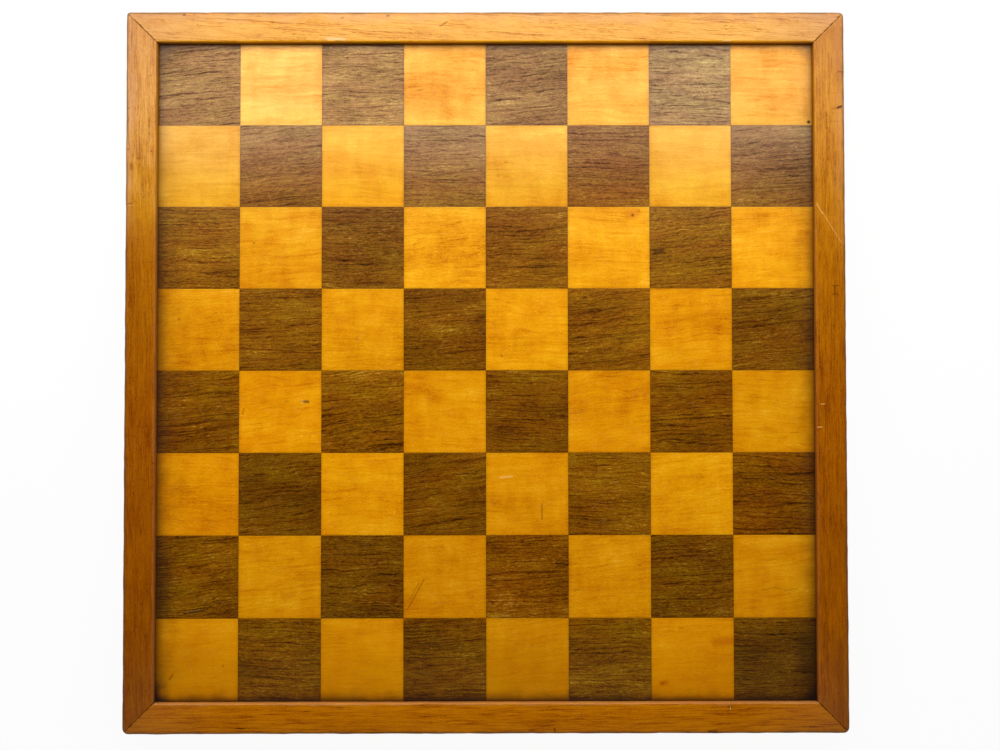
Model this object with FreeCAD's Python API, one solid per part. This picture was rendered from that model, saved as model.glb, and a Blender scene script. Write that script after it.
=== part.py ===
import FreeCAD, Part

import math
import os

# A framed chess board lying flat. X runs to the right, Y to the back and Z up.
# The origin is the middle of the underside, and every length is in millimetres.

# The playing field is eight strips of veneer side by side. Each strip runs front to back and
# was sawn across a striped blank, so it holds eight squares whose grain runs left to right.
squares_per_side = 8
square_size = 50.8
square_thickness = 2.0

# The core is narrow boards glued edge to edge, with a tongue worked all round it.
core_board_count = 5
core_thickness = 15.0
tongue_thickness = 5.0
tongue_reach = 5.5

# A thin veneer under the core keeps it flat, and baize covers the whole underside.
backing_thickness = 1.0
baize_thickness = 1.0
baize_margin = 3.0

# The rails stand proud of the squares. Hands have rounded their edges and the four corners.
rail_width = 19.05
rail_proud = 6.0
outer_arris = 1.6
inner_arris = 1.0
foot_arris = 0.6
corner_radius = 3.2

# Two brads cross each mitre. They are cut from plate, so they have one thickness and taper in
# width from a head with a lip on one side. They are punched below the outer face of the side
# rail, and wax stops the hole above each head.
brad_length = 30.0
brad_width = 1.8
brad_tip_width = 0.7
brad_thickness = 1.3
brad_lip = 0.6
brad_head_depth = 1.0
punch_depth = 1.2
stopping_sink = 0.15
brad_height_shares = (0.28, 0.72)

# Clearances: a film of glue between neighbours, play round the tongue, and play round a brad.
glue_line = 0.12
tongue_play = 0.15
tongue_end_play = 0.5
brad_play = 0.05

# How far a cutting tool runs past the face that it cuts, and how near is the same height.
overrun = 5.0
level_tolerance = 0.01

# Sizes and levels that follow from those above.
field_size = squares_per_side * square_size
board_size = field_size + 2 * rail_width
panel_size = field_size - glue_line
wall_reach = field_size / 2
rail_height = backing_thickness + core_thickness + square_thickness + rail_proud
foot_level = baize_thickness
core_level = foot_level + backing_thickness
square_level = core_level + core_thickness
rail_top = foot_level + rail_height
tongue_level = core_level + (core_thickness - tongue_thickness) / 2

# Every rail is made at the front and turned about the middle of the board to its side.
rail_turns = {"front": 0, "right": 90, "back": 180, "left": 270}

up = FreeCAD.Vector(0, 0, 1)
back = FreeCAD.Vector(0, 1, 0)
centre = FreeCAD.Vector(0, 0, 0)


def square_block(size, level, thickness):
    """A flat square block, its middle over the origin."""
    corner = FreeCAD.Vector(-size / 2, -size / 2, level)
    return Part.makeBox(size, size, thickness, corner)


def edges_at_level(shape, level):
    """The edges whose middle is at this height."""
    return [e for e in shape.Edges if abs(e.CenterOfMass.z - level) < level_tolerance]


def rounded_block(size, level, thickness):
    """A flat square block whose upright corners are rounded as the frame's are."""
    slab = square_block(size, level, thickness)
    return slab.makeFillet(corner_radius, edges_at_level(slab, level + thickness / 2))


def turned(shape, angle):
    """The shape turned about the upright line through the middle of the board."""
    copy = shape.copy()
    copy.rotate(centre, up, angle)
    return copy


# The squares


def is_dark(strip, place):
    """The square in the back left corner is dark, and the woods alternate from there."""
    return (strip + place) % 2 == 0


def veneer_square(strip, place):
    """One square. Strips count from the left, and places in a strip from the back."""
    side = square_size - glue_line
    middle_x = (strip + 0.5) * square_size - wall_reach
    middle_y = wall_reach - (place + 0.5) * square_size
    corner = FreeCAD.Vector(middle_x - side / 2, middle_y - side / 2, square_level)
    return Part.makeBox(side, side, square_thickness, corner)


def strip_squares(strip, dark):
    """The squares of one wood in a strip."""
    places = [p for p in range(squares_per_side) if is_dark(strip, p) == dark]
    return Part.makeCompound([veneer_square(strip, p) for p in places])


# The core and what lies under it


def core_slab():
    """The whole core before it is parted into boards: a slab with a tongue all round."""
    slab = square_block(panel_size, core_level, core_thickness)
    tongue_size = field_size + 2 * (tongue_reach - tongue_end_play)
    tongue = square_block(tongue_size, tongue_level, tongue_thickness)
    return slab.fuse(tongue).removeSplitter()


def core_board(slab, index):
    """One board of the core. Boards run front to back and count from the left."""
    pitch = field_size / core_board_count
    left = index * pitch - wall_reach + glue_line / 2
    right = left + pitch - glue_line
    if index == 0:
        left = -board_size / 2
    if index == core_board_count - 1:
        right = board_size / 2
    corner = FreeCAD.Vector(left, -board_size / 2, core_level)
    lane = Part.makeBox(right - left, board_size, core_thickness, corner)
    return slab.common(lane)


def backing_veneer():
    """The sheet glued under the core, between the rails."""
    return square_block(panel_size, foot_level, backing_thickness)


def baize_lining():
    """The cloth under the board, cut a little short of its edges."""
    return rounded_block(board_size - 2 * baize_margin, 0, baize_thickness)


# The frame


def frame_blank():
    """The outside of the frame, solid through, with its corners and outer edges rounded."""
    blank = rounded_block(board_size, foot_level, rail_height)
    blank = blank.makeFillet(outer_arris, edges_at_level(blank, rail_top))
    return blank.makeFillet(foot_arris, edges_at_level(blank, foot_level))


def mitred_wedge():
    """The ground of the front rail: its ends are cut at 45 degrees, half a glue line apart."""
    set_back = glue_line / math.sqrt(2)
    past = rail_width + overrun
    outline = [
        (set_back - wall_reach, -wall_reach),
        (wall_reach - set_back, -wall_reach),
        (wall_reach - set_back + past, -wall_reach - past),
        (set_back - wall_reach - past, -wall_reach - past),
    ]
    points = [FreeCAD.Vector(x, y, foot_level - overrun) for x, y in outline]
    face = Part.Face(Part.makePolygon(points + points[:1]))
    return face.extrude(up * (rail_height + 2 * overrun))


def tongue_groove():
    """The slot along the front rail's inner face that takes the tongue of the core."""
    length = board_size + 2 * overrun
    corner = FreeCAD.Vector(-length / 2, -wall_reach - tongue_reach, tongue_level - tongue_play)
    return Part.makeBox(length, tongue_reach + overrun, tongue_thickness + 2 * tongue_play, corner)


def inner_top_edge(bar):
    """The long edge where the front rail's top meets its inner wall."""
    middle = FreeCAD.Vector(0, -wall_reach, rail_top)
    return min(bar.Edges, key=lambda edge: edge.CenterOfMass.distanceToPoint(middle))


def front_rail(blank):
    """A rail at the front, before its brads are driven."""
    bar = blank.common(mitred_wedge())
    bar = bar.makeFillet(inner_arris, [inner_top_edge(bar)])
    return bar.cut(tongue_groove())


def rail(bar, side):
    """The rail of one side, with the holes of the brads that cross its mitres."""
    turned_bar = turned(bar, rail_turns[side])
    return turned_bar.cut(at_each_brad(brad_hole())).Solids[0]


# The brads. Each is made upright, with the face that it enters at height 0.


def cut_from_plate(outline, thickness):
    """A flat piece from (across, depth) points, with depth going down."""
    points = [FreeCAD.Vector(-thickness / 2, across, -depth) for across, depth in outline]
    face = Part.Face(Part.makePolygon(points + points[:1]))
    return face.extrude(FreeCAD.Vector(thickness, 0, 0))


def brad_shape(play, start):
    """A brad under its face, or with some play its hole from a start depth."""
    plain_side = -brad_width / 2 - play
    lip_side = brad_width / 2 + brad_lip + play
    neck = punch_depth + brad_head_depth + play
    tip = punch_depth + brad_length + play
    outline = [
        (plain_side, start),
        (lip_side, start),
        (lip_side, neck),
        (brad_width / 2 + play, neck),
        (brad_tip_width / 2 + play, tip),
        (-brad_tip_width / 2 - play, tip),
        (plain_side, neck),
    ]
    return cut_from_plate(outline, brad_thickness + 2 * play)


def cut_brad():
    return brad_shape(0, punch_depth)


def brad_hole():
    return brad_shape(brad_play, -overrun)


def wax_stopping():
    """The plug over one brad's head, a little below the face of the rail."""
    outline = [
        (-brad_width / 2, stopping_sink),
        (brad_width / 2 + brad_lip, stopping_sink),
        (brad_width / 2 + brad_lip, punch_depth),
        (-brad_width / 2, punch_depth),
    ]
    return cut_from_plate(outline, brad_thickness)


def brad_places():
    """Where the brads enter: a point on the outer face, and 1 for the right side or -1."""
    places = []
    for side in (-1, 1):
        for end in (-1, 1):
            for share in brad_height_shares:
                point = FreeCAD.Vector(
                    side * board_size / 2,
                    end * (field_size + rail_width) / 2,
                    foot_level + share * rail_height,
                )
                places.append((point, side))
    return places


def at_each_brad(shape):
    """The shape laid along X at every place where a brad enters."""
    copies = []
    for point, side in brad_places():
        copy = shape.copy()
        copy.rotate(centre, back, 90 * side)
        copy.translate(point)
        copies.append(copy)
    return Part.makeCompound(copies)


# The whole board


def build():
    """Every piece of the board under its name."""
    pieces = {}
    for strip in range(squares_per_side):
        pieces["strip_%d_light" % (strip + 1)] = strip_squares(strip, False)
        pieces["strip_%d_dark" % (strip + 1)] = strip_squares(strip, True)
    slab = core_slab()
    for index in range(core_board_count):
        pieces["core_board_%d" % (index + 1)] = core_board(slab, index)
    pieces["backing_veneer"] = backing_veneer()
    pieces["baize_lining"] = baize_lining()
    bar = front_rail(frame_blank())
    for side in rail_turns:
        pieces["rail_" + side] = rail(bar, side)
    pieces["corner_brads"] = at_each_brad(cut_brad())
    pieces["brad_stopping"] = at_each_brad(wax_stopping())
    return pieces


os.makedirs("parts", exist_ok=True)
for name, shape in build().items():
    shape.exportStep("parts/%s.step" % name)
    print("%s: %d solids, %.0f cubic mm, valid %s" % (name, len(shape.Solids), shape.Volume, shape.isValid()))
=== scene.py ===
# %% [markdown]
# # A framed chess board
#
# The real board is a flat panel in a mitred frame. Its field is sixty-four squares of saw-cut
# veneer, half of them a pale close-grained wood and half a dark open-grained one. Four rails of
# orange-brown wood stand a little proud of the squares. Old varnish, hand wear and the darkening
# along the rails, partly grime and partly painted shade, give it most of its looks.
#
# The squares, the core and the brads come from the frame as they are, because their shape is
# right, and get wood and metal finishes here. The four rails and the baize are modelled again,
# because hands have worn the rails uneven and cloth isn't a hard plate.

# %% Load the imported board
import math

import bmesh
import bpy
from mathutils import Matrix, Vector


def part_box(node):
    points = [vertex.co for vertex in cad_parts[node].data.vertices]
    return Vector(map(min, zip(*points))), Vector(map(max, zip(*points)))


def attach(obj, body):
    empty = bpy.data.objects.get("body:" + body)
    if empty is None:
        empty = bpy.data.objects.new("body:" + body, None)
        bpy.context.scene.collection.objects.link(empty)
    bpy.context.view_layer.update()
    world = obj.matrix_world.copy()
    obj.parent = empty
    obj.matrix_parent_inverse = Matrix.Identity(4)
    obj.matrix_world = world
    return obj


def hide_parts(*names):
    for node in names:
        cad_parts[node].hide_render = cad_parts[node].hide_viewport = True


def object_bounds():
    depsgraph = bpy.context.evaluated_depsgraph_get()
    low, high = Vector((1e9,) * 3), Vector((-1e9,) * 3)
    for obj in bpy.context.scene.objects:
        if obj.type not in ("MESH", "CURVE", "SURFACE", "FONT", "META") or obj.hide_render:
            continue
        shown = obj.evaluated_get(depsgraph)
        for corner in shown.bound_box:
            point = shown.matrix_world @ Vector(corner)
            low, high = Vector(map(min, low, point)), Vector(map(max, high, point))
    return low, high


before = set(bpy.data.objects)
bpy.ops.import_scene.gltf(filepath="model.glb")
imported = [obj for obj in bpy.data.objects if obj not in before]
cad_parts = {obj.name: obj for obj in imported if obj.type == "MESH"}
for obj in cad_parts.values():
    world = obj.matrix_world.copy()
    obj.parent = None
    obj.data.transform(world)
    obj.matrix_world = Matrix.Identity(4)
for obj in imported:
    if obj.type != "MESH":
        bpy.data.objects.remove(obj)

cad_low, cad_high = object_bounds()
print("the board is", [round(side * 1000, 1) for side in cad_high - cad_low], "mm")

# %% Sizes that the frame gives
mm = 0.001
squares_per_side = 8

board_reach = cad_high.x
wall_reach = -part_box("rail_left")[1].x
rail_width = board_reach - wall_reach
square_pitch = 2 * wall_reach / squares_per_side
square_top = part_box("strip_1_light")[1].z
rail_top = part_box("rail_front")[1].z
rail_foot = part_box("rail_front")[0].z
print("rails are", round(rail_width / mm, 2), "mm wide, squares", round(square_pitch / mm, 2), "mm")

# %% [markdown]
# ## The camera
#
# The photograph looks down on the board from almost straight above. The forty-nine points
# where four squares meet are all visible, so the camera was found by moving a pinhole camera
# until those points landed where the photograph has them. A matrix that turns the board into
# the camera's own axes is the natural result, and its inverse is where the camera stands.

# %% The camera
photo_width = 1000
photo_height = 750
photo_middle = (photo_width / 2, photo_height / 2)
focal_pixels = 1456
sensor_width = 36
camera_turn_x = math.radians(-1.789)
camera_turn_y = math.radians(0.263)
camera_turn_z = math.radians(0.070)
board_from_camera = Vector((-8.71, 2.80, -900.2)) * mm

turn = (
    Matrix.Rotation(camera_turn_x, 3, "X")
    @ Matrix.Rotation(camera_turn_y, 3, "Y")
    @ Matrix.Rotation(camera_turn_z, 3, "Z")
)
turn_back = turn.transposed()
camera_place = turn_back @ -board_from_camera + Vector((0, 0, square_top))

camera = bpy.data.objects.new("camera", bpy.data.cameras.new("camera"))
bpy.context.scene.collection.objects.link(camera)
camera.data.sensor_width = sensor_width
camera.data.lens = focal_pixels / photo_width * sensor_width
camera.matrix_world = Matrix.Translation(camera_place) @ turn_back.to_4x4()
bpy.context.scene.camera = camera
print("the camera stands at", [round(c / mm) for c in camera_place], "mm")

# %% [markdown]
# Scratches and spots are named by where the photograph shows them. This helper sends a ray
# from the camera through a pixel and gives the point where it meets a level of the board, so
# a mark lands on the surface that carries it.

# %% From a pixel to a place on the board
def place_at(pixel, level=square_top):
    """The point at a level of the board that a pixel of the photograph shows."""
    across = (pixel[0] - photo_middle[0]) / focal_pixels
    upward = (photo_middle[1] - pixel[1]) / focal_pixels
    ray = turn_back @ Vector((across, upward, -1))
    return camera_place + ray * (level - camera_place.z) / ray.z


print("the middle of the photograph is", [round(c / mm, 1) for c in place_at(photo_middle)], "mm")

# %% [markdown]
# ## Small helpers for shader nodes
#
# A finish is a graph of nodes. Building one by hand means adding a node, setting it and linking
# it, over and over, so each of those acts gets a short helper. A value that is another node's
# output is linked, and anything else is typed into the socket.

# %% Adding and linking nodes
def feed(tree, socket, value):
    """Links a socket to another node's output, or sets it to a plain value."""
    if isinstance(value, bpy.types.NodeSocket):
        tree.links.new(value, socket)
    else:
        socket.default_value = value


def add_node(tree, kind, inputs=(), **settings):
    """A new shader node with its own settings and its inputs fed."""
    node = tree.nodes.new("ShaderNode" + kind)
    for name, value in settings.items():
        setattr(node, name, value)
    for name, value in dict(inputs).items():
        feed(tree, node.inputs[name], value)
    return node


def calc(tree, operation, first, second=0.0, third=0.0, clamp=False):
    """One step of arithmetic on numbers."""
    node = add_node(tree, "Math", operation=operation, use_clamp=clamp)
    for socket, value in zip(node.inputs, (first, second, third)):
        feed(tree, socket, value)
    return node.outputs["Value"]


def vector_calc(tree, operation, first, second=(0, 0, 0)):
    """One step of arithmetic on vectors."""
    node = add_node(tree, "VectorMath", operation=operation)
    feed(tree, node.inputs[0], first)
    feed(tree, node.inputs[1], second)
    return node.outputs["Vector"]


def fade(tree, value, start, end, low=0.0, high=1.0):
    """Goes smoothly from low to high as the value goes from start to end."""
    given = {"Value": value, "From Min": start, "From Max": end, "To Min": low, "To Max": high}
    node = add_node(tree, "MapRange", given, interpolation_type="SMOOTHSTEP")
    return node.outputs["Result"]


def blend(tree, share, first, second, mode="MIX"):
    """Two colours mixed by a share from 0 to 1."""
    node = add_node(tree, "Mix", {0: share, 6: first, 7: second}, data_type="RGBA", blend_type=mode)
    return node.outputs[2]


def laid(tree, colour, tint, mask, strength):
    """A colour with a tint laid over it where a mask is, at most so strongly."""
    return blend(tree, calc(tree, "MULTIPLY", mask, strength), colour, tint)


def split(tree, vector):
    """The three numbers of a vector."""
    return add_node(tree, "SeparateXYZ", {"Vector": vector}).outputs


def join(tree, x, y, z):
    """A vector from three numbers."""
    return add_node(tree, "CombineXYZ", {"X": x, "Y": y, "Z": z}).outputs["Vector"]


def stretched_noise(tree, place, along, across, detail=2.0):
    """Soft random blotches, so many millimetres long and wide."""
    scaled = vector_calc(tree, "DIVIDE", place, (along, across, across))
    node = add_node(tree, "TexNoise", {"Vector": scaled, "Scale": 1.0, "Detail": detail})
    return node.outputs["Fac"]


def ramp(tree, value, stops):
    """Colours for values from 0 to 1, from a list of (value, colour)."""
    node = add_node(tree, "ValToRGB", {"Fac": value})
    elements = node.color_ramp.elements
    while len(elements) < len(stops):
        elements.new(0.5)
    for element, (position, colour) in zip(elements, stops):
        element.position = position
        element.color = colour
    return node.outputs["Color"]



# %% Starting a group and using one
def new_group(name, inputs, outputs):
    """An empty node group with named sockets, and its inside ends of them."""
    tree = bpy.data.node_groups.new(name, "ShaderNodeTree")
    for title, kind in inputs.items():
        tree.interface.new_socket(title, in_out="INPUT", socket_type="NodeSocket" + kind)
    for title, kind in outputs.items():
        tree.interface.new_socket(title, in_out="OUTPUT", socket_type="NodeSocket" + kind)
    given = tree.nodes.new("NodeGroupInput").outputs
    made = tree.nodes.new("NodeGroupOutput").inputs
    return tree, given, made


def use_group(tree, group, inputs):
    """Places a group in a material or in another group and gives its outputs."""
    node = tree.nodes.new("ShaderNodeGroup")
    node.node_tree = group
    for name, value in inputs.items():
        feed(tree, node.inputs[name], value)
    return node.outputs


# %% [markdown]
# ## Light, floor and backdrop
#
# A long soft lamp stands behind the back edge. It makes the far squares brighter than the near
# ones and puts a pale bloom on the varnish there, as a window does. The world is bright near
# the horizon and dim overhead, like white studio walls under a dark ceiling, so the flat top
# mirrors something dim and its colours stay deep.
#
# The floor is white to the camera and still takes a soft shadow. From below it is clear, and
# it has an opening that the board covers, so the underside can be looked at as through a glass
# table.

# %% The lamp
window_width = 1.2
window_height = 0.324
window_power = 5.75
window_place = Vector((-0.04, 0.363, 0.40))
window_aim = Vector((-0.04, 0.30, square_top))

lamp_data = bpy.data.lights.new("window", "AREA")
lamp_data.shape = "RECTANGLE"
lamp_data.size = window_width
lamp_data.size_y = window_height
lamp_data.energy = window_power
lamp = bpy.data.objects.new("window", lamp_data)
bpy.context.scene.collection.objects.link(lamp)
window_turn = (window_aim - window_place).to_track_quat("-Z", "Y").to_matrix().to_4x4()
lamp.matrix_world = Matrix.Translation(window_place) @ window_turn
lamp.visible_camera = False
print("the lamp is", round((window_place - window_aim).length, 2), "m from where it points")

# %% The world
wall_white = (1.0, 1.0, 1.0, 1)
ceiling_grey = (0.02, 0.02, 0.02, 1)
wall_end = 0.37
ceiling_start = 0.75

world = bpy.data.worlds.new("studio")
bpy.context.scene.world = world
world.use_nodes = True
sky = world.node_tree
sky.nodes.clear()
sky_height = split(sky, add_node(sky, "TexCoord").outputs["Generated"])["Z"]
sky_colour = ramp(sky, sky_height, ((wall_end, wall_white), (ceiling_start, ceiling_grey)))
sky_light = add_node(sky, "Background", {"Color": sky_colour})
add_node(sky, "OutputWorld", {"Surface": sky_light.outputs["Background"]})
bpy.context.scene.view_settings.view_transform = "Standard"

# %% The floor
floor_size = 40
floor_gap = 0.3 * mm
hidden_rim = 8 * mm
under_board = board_reach - hidden_rim

bpy.ops.object.select_all(action="DESELECT")
bpy.ops.mesh.primitive_plane_add(size=floor_size, location=(0, 0, cad_low.z - floor_gap))
floor = bpy.context.object
floor.name = "floor"
bpy.ops.object.mode_set(mode="EDIT")
bpy.ops.mesh.inset(thickness=floor_size / 2 - under_board)
bpy.ops.mesh.delete(type="FACE")
bpy.ops.object.mode_set(mode="OBJECT")
print("the floor has", len(floor.data.polygons), "faces round its opening")

# %% The floor's paper
paper_white = (0.9, 0.9, 0.9, 1)
glow_share = 0.94

floor_material = bpy.data.materials.new("floor")
floor_material.use_nodes = True
floor_tree = floor_material.node_tree
floor_tree.nodes.clear()
paper = add_node(floor_tree, "BsdfDiffuse", {"Color": paper_white})
glow = add_node(floor_tree, "Emission", {"Strength": 1.0})
clear = add_node(floor_tree, "BsdfTransparent")
rays = add_node(floor_tree, "LightPath").outputs
seen = calc(floor_tree, "MAXIMUM", rays["Is Camera Ray"], rays["Is Glossy Ray"])
seen = calc(floor_tree, "MAXIMUM", seen, rays["Is Transmission Ray"])
seen = calc(floor_tree, "MULTIPLY", seen, glow_share)
above = {"Fac": seen, 1: paper.outputs["BSDF"], 2: glow.outputs["Emission"]}
above = add_node(floor_tree, "MixShader", above).outputs["Shader"]
from_below = add_node(floor_tree, "NewGeometry").outputs["Backfacing"]
both = {"Fac": from_below, 1: above, 2: clear.outputs["BSDF"]}
both = add_node(floor_tree, "MixShader", both).outputs["Shader"]
add_node(floor_tree, "OutputMaterial", {"Surface": both})
floor.data.materials.append(floor_material)

# %% [markdown]
# ## Where a point lies on the board
#
# Every pattern below is written in millimetres from the middle of the board, so a group first
# turns Object coordinates into those. A second group says in which square a point lies. It
# rounds the place down to a whole square, feeds that to White Noise for three random numbers
# that are the same all over one square, and measures how far the nearest seam is. So one
# material can give each square its own piece of wood.

# %% Group: millimetres
millimetres, given, made = new_group("Millimetres", {"Turn": "Float"}, {"Place": "Vector"})
seen_place = add_node(millimetres, "TexCoord").outputs["Object"]
scaled = vector_calc(millimetres, "MULTIPLY", seen_place, (1 / mm, 1 / mm, 1 / mm))
turned = add_node(millimetres, "VectorRotate", {"Vector": scaled, "Angle": given["Turn"]})
feed(millimetres, made["Place"], turned.outputs["Vector"])

# %% Group: which square
pitch = square_pitch / mm
square_place, given, made = new_group(
    "Which square",
    {"Place": "Vector"},
    {"Chance": "Vector", "Seam": "Float", "Across": "Float", "Up": "Float"},
)
counted = vector_calc(square_place, "DIVIDE", given["Place"], (pitch, pitch, pitch))
cell = vector_calc(square_place, "FLOOR", counted)
inside = vector_calc(square_place, "SUBTRACT", counted, cell)
chance = add_node(square_place, "TexWhiteNoise", {"Vector": cell}, noise_dimensions="3D")
feed(square_place, made["Chance"], chance.outputs["Color"])
inside = split(square_place, inside)
for side, title in (("X", "Across"), ("Y", "Up")):
    centred = calc(square_place, "SUBTRACT", inside[side], 0.5)
    feed(square_place, made[title], calc(square_place, "MULTIPLY", centred, pitch))
from_middle = [
    calc(square_place, "ABSOLUTE", calc(square_place, "SUBTRACT", inside[side], 0.5))
    for side in "XY"
]
furthest = calc(square_place, "MAXIMUM", *from_middle)
to_edge = calc(square_place, "SUBTRACT", 0.5, furthest)
feed(square_place, made["Seam"], calc(square_place, "MULTIPLY", to_edge, pitch))

# %% [markdown]
# ## Wood grain
#
# All the woods here share one group. Wood is streaks that run along the grain, so each layer is
# noise stretched along X: broad clouds of colour, patches, soft streaks, the darker lines where
# a year's growth ends, short pores where vessels are cut open, a fine ripple and the few bright
# glints, which are painted highlights where light catches old varnish. The lines aren't straight
# because a slow and a quick wobble are added across the grain first. Slope tips the whole grain,
# as in a veneer that was cut a little skew.

# %% Group: wood grain
grain_layers = (
    "Cloud",
    "Patch",
    "Streak",
    "Ripple",
    "Fleck",
    "Line",
    "Pore",
    "Vein",
    "Pit",
    "Glint",
    "Figure",
    "Hue",
)
wood_grain, given, made = new_group(
    "Wood grain",
    {"Place": "Vector", "Shift": "Vector", "Slope": "Float", "Wobble": "Float", "Growth": "Float"},
    dict.fromkeys(grain_layers, "Float"),
)


def grain_noise(place, length, width, detail):
    """Noise of the wood grain, by its length and width in millimetres."""
    return stretched_noise(wood_grain, place, length, width, detail)


def grain_elsewhere(place, along, across):
    """The same grain at a far-off place, so that two layers don't follow each other."""
    return vector_calc(wood_grain, "ADD", place, (along, across, 0))


# %% Bending the grain
quick_wobble = 1.2

moved = vector_calc(wood_grain, "ADD", given["Place"], given["Shift"])
here = split(wood_grain, moved)
slow = calc(wood_grain, "SUBTRACT", grain_noise(moved, 30, 12, 1.0), 0.5)
quick = calc(wood_grain, "SUBTRACT", grain_noise(moved, 6, 3, 1.0), 0.5)
tipped = calc(wood_grain, "MULTIPLY", here["X"], given["Slope"])
bent = calc(wood_grain, "SUBTRACT", here["Y"], tipped)
bent = calc(wood_grain, "ADD", bent, calc(wood_grain, "MULTIPLY", slow, given["Wobble"]))
bent = calc(wood_grain, "ADD", bent, calc(wood_grain, "MULTIPLY", quick, quick_wobble))
flow = join(wood_grain, here["X"], bent, here["Z"])

# %% Clouds, patches, streaks and ripples
soft_layers = {
    "Cloud": (flow, 55, 22, 2.0),
    "Patch": (flow, 14, 5, 2.0),
    "Streak": (flow, 22, 1.0, 2.0),
    "Ripple": (flow, 3.0, 0.8, 1.0),
    "Fleck": (moved, 1.1, 0.5, 0.0),
    "Figure": (grain_elsewhere(moved, 17, 5), 8, 20, 2.0),
}
for layer, noise in soft_layers.items():
    feed(wood_grain, made[layer], grain_noise(*noise))

# %% Growth lines
drift_share = 4.0
line_share = 0.17

rings = calc(wood_grain, "DIVIDE", bent, given["Growth"])
rings = calc(wood_grain, "MULTIPLY_ADD", grain_noise(flow, 90, 12, 0.0), drift_share, rings)
thin_line = fade(wood_grain, calc(wood_grain, "PINGPONG", rings, 0.5), line_share, 0.0)
broken = fade(wood_grain, grain_noise(flow, 14, 2.0, 1.0), 0.42, 0.60)
feed(wood_grain, made["Line"], calc(wood_grain, "MULTIPLY", thin_line, broken))

# %% Pores, veins, pits and glints
sharp_layers = {
    "Pore": ((flow, 4.5, 0.65, 0.0), (0.58, 0.74)),
    "Vein": ((grain_elsewhere(flow, 23, 31), 42, 0.8, 0.0), (0.60, 0.72)),
}
for layer, (noise, limits) in sharp_layers.items():
    feed(wood_grain, made[layer], fade(wood_grain, grain_noise(*noise), *limits))

# Glint is a painted highlight: bright flecks in patches, where light would catch the varnish.
patchy_layers = {
    "Pit": ((moved, 1.9, 1.0, 1.0), (0.66, 0.76), (moved, 22, 9, 1.0), (0.46, 0.60)),
    "Glint": (
        (grain_elsewhere(flow, 51, 77), 3.0, 0.6, 0.0),
        (0.64, 0.80),
        (moved, 16, 9, 1.0),
        (0.50, 0.64),
    ),
}
for layer, (noise, limits, patch_noise, patch_limits) in patchy_layers.items():
    spots = fade(wood_grain, grain_noise(*noise), *limits)
    patches = fade(wood_grain, grain_noise(*patch_noise), *patch_limits)
    feed(wood_grain, made[layer], calc(wood_grain, "MULTIPLY", spots, patches))

# %% Changes of hue
broad_share = 0.7
fine_share = 0.4
hue_balance = -0.05

broad_hue = grain_noise(grain_elsewhere(flow, 71, 13), 34, 11, 2.0)
fine_hue = grain_noise(grain_elsewhere(flow, 13, 71), 3.5, 1.2, 1.0)
fine_hue = calc(wood_grain, "MULTIPLY_ADD", fine_hue, fine_share, hue_balance)
feed(wood_grain, made["Hue"], calc(wood_grain, "MULTIPLY_ADD", broad_hue, broad_share, fine_hue))
print("the wood grain has", len(grain_layers), "layers")

# %% [markdown]
# ## Marks, grime and painted shade, and scuffs
#
# A mark is a soft line from one point to another, or a spot when both are the same. The group
# finds the nearest point of that line and fades with the distance from it. Along the walls of
# the recess the squares are darkened, partly grime where cloths don't reach and partly painted
# shade where the walls keep light off, in a curve that falls off within a finger's width, and
# nearly black in its corners. The back wall has little of it, and so have the far ends of the
# side walls and the two far corners.

# %% Group: one mark
shortest_run = 0.0001
soft_edge = 1.75
full_middle = 0.2

one_mark, given, made = new_group(
    "One mark",
    {"Place": "Vector", "From": "Vector", "To": "Vector", "Half width": "Float"},
    {"Mask": "Float"},
)
run = vector_calc(one_mark, "SUBTRACT", given["To"], given["From"])
reach = vector_calc(one_mark, "SUBTRACT", given["Place"], given["From"])
dot = add_node(one_mark, "VectorMath", {0: reach, 1: run}, operation="DOT_PRODUCT")
length = add_node(one_mark, "VectorMath", {0: run, 1: run}, operation="DOT_PRODUCT")
longer = calc(one_mark, "MAXIMUM", length.outputs["Value"], shortest_run)
along = calc(one_mark, "DIVIDE", dot.outputs["Value"], longer, clamp=True)
foot = add_node(one_mark, "VectorMath", {0: run, "Scale": along}, operation="SCALE")
apart = vector_calc(one_mark, "SUBTRACT", reach, foot.outputs["Vector"])
distance = add_node(one_mark, "VectorMath", {0: apart}, operation="LENGTH").outputs["Value"]
wide = calc(one_mark, "MULTIPLY", given["Half width"], soft_edge)
narrow = calc(one_mark, "MULTIPLY", given["Half width"], full_middle)
feed(one_mark, made["Mask"], fade(one_mark, distance, wide, narrow))

# %% Group: grime and painted shade along the walls
walls = wall_reach / mm
walls_grimed_and_shaded = {
    "left": ("X", -1, 0.78, 6.2, 1.1),
    "right": ("X", 1, 0.72, 5.3, 1.1),
    "front": ("Y", -1, 0.92, 3.7, 1.7),
    "back": ("Y", 1, 0.74, 2.0, 1.1),
}
grime_and_shade_wander = (0.75, 1.3)
side_walls_end = (60, 130)
left_at_end = 0.68

wall_grime_and_shade, given, made = new_group(
    "Wall grime", {"Place": "Vector"}, {"Mask": "Float", "Corner": "Float"}
)
uneven = stretched_noise(wall_grime_and_shade, given["Place"], 11, 11, 2.0)
spread = fade(wall_grime_and_shade, uneven, 0.25, 0.75, *grime_and_shade_wander)
spots = split(wall_grime_and_shade, given["Place"])
less_at_end = fade(wall_grime_and_shade, spots["Y"], *side_walls_end, -1.0, -left_at_end)
clean = 1.0
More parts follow.
